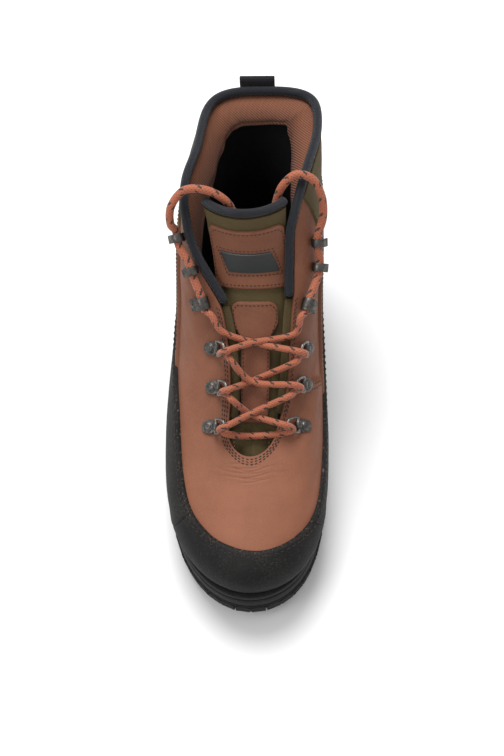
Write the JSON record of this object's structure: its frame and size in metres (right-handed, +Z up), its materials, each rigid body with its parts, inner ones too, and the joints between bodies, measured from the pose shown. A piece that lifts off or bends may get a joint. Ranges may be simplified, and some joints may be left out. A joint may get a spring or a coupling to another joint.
{
  "type": "wading boot",
  "caption": "Mid-height lace-up wading boot for the right foot: leather upper, rubber toe cap and rand, lugged sole, padded collar, hooks and rings.",
  "frame": {"origin": "on the floor under the middle of the sole's plan", "axes": "+Z up, the toe points along -Y, the inner side of the foot is +X"},
  "size_m": [0.1151, 0.3222, 0.1973],
  "materials": {
    "leather": "matte oiled",
    "rubber": "matte",
    "foam": "matte",
    "fabric": "woven",
    "lining": "ribbed mesh",
    "binding": "woven tape",
    "footbed": "napped",
    "metal": "aged",
    "lace": "braided"
  },
  "bodies": {
    "root": {"outsole": "rubber", "midsole": "foam", "insole": "footbed", "upper": "leather", "toe_cap": "rubber", "side_rand": "rubber", "ankle_panel": "leather", "shaft_panel": "fabric", "collar_lining": "lining", "collar_binding": "binding", "throat_roll_lateral": "fabric", "throat_roll_medial": "fabric", "tongue": "fabric", "tongue_patch": "leather", "tongue_badge": "rubber", "tongue_strip": "leather", "tongue_binding": "binding", "pull_loop": "binding", "ring_plate_1_lateral": "metal", "ring_plate_1_medial": "metal", "ring_plate_2_lateral": "metal", "ring_plate_2_medial": "metal", "ring_plate_3_lateral": "metal", "ring_plate_3_medial": "metal", "d_ring_1_lateral": "metal", "d_ring_1_medial": "metal", "d_ring_2_lateral": "metal", "d_ring_2_medial": "metal", "d_ring_3_lateral": "metal", "d_ring_3_medial": "metal", "lock_hook_4_lateral": "metal", "lock_hook_4_medial": "metal", "lace_hook_5_lateral": "metal", "lace_hook_5_medial": "metal", "lace_hook_6_lateral": "metal", "lace_hook_6_medial": "metal", "lace_bar": "lace", "lace_crossing_1": "lace", "lace_crossing_2": "lace", "lace_crossing_3": "lace", "lace_end_lateral": "lace", "lace_end_medial": "lace", "aglet_lateral": "metal", "aglet_medial": "metal"}
  },
  "joints": []
}
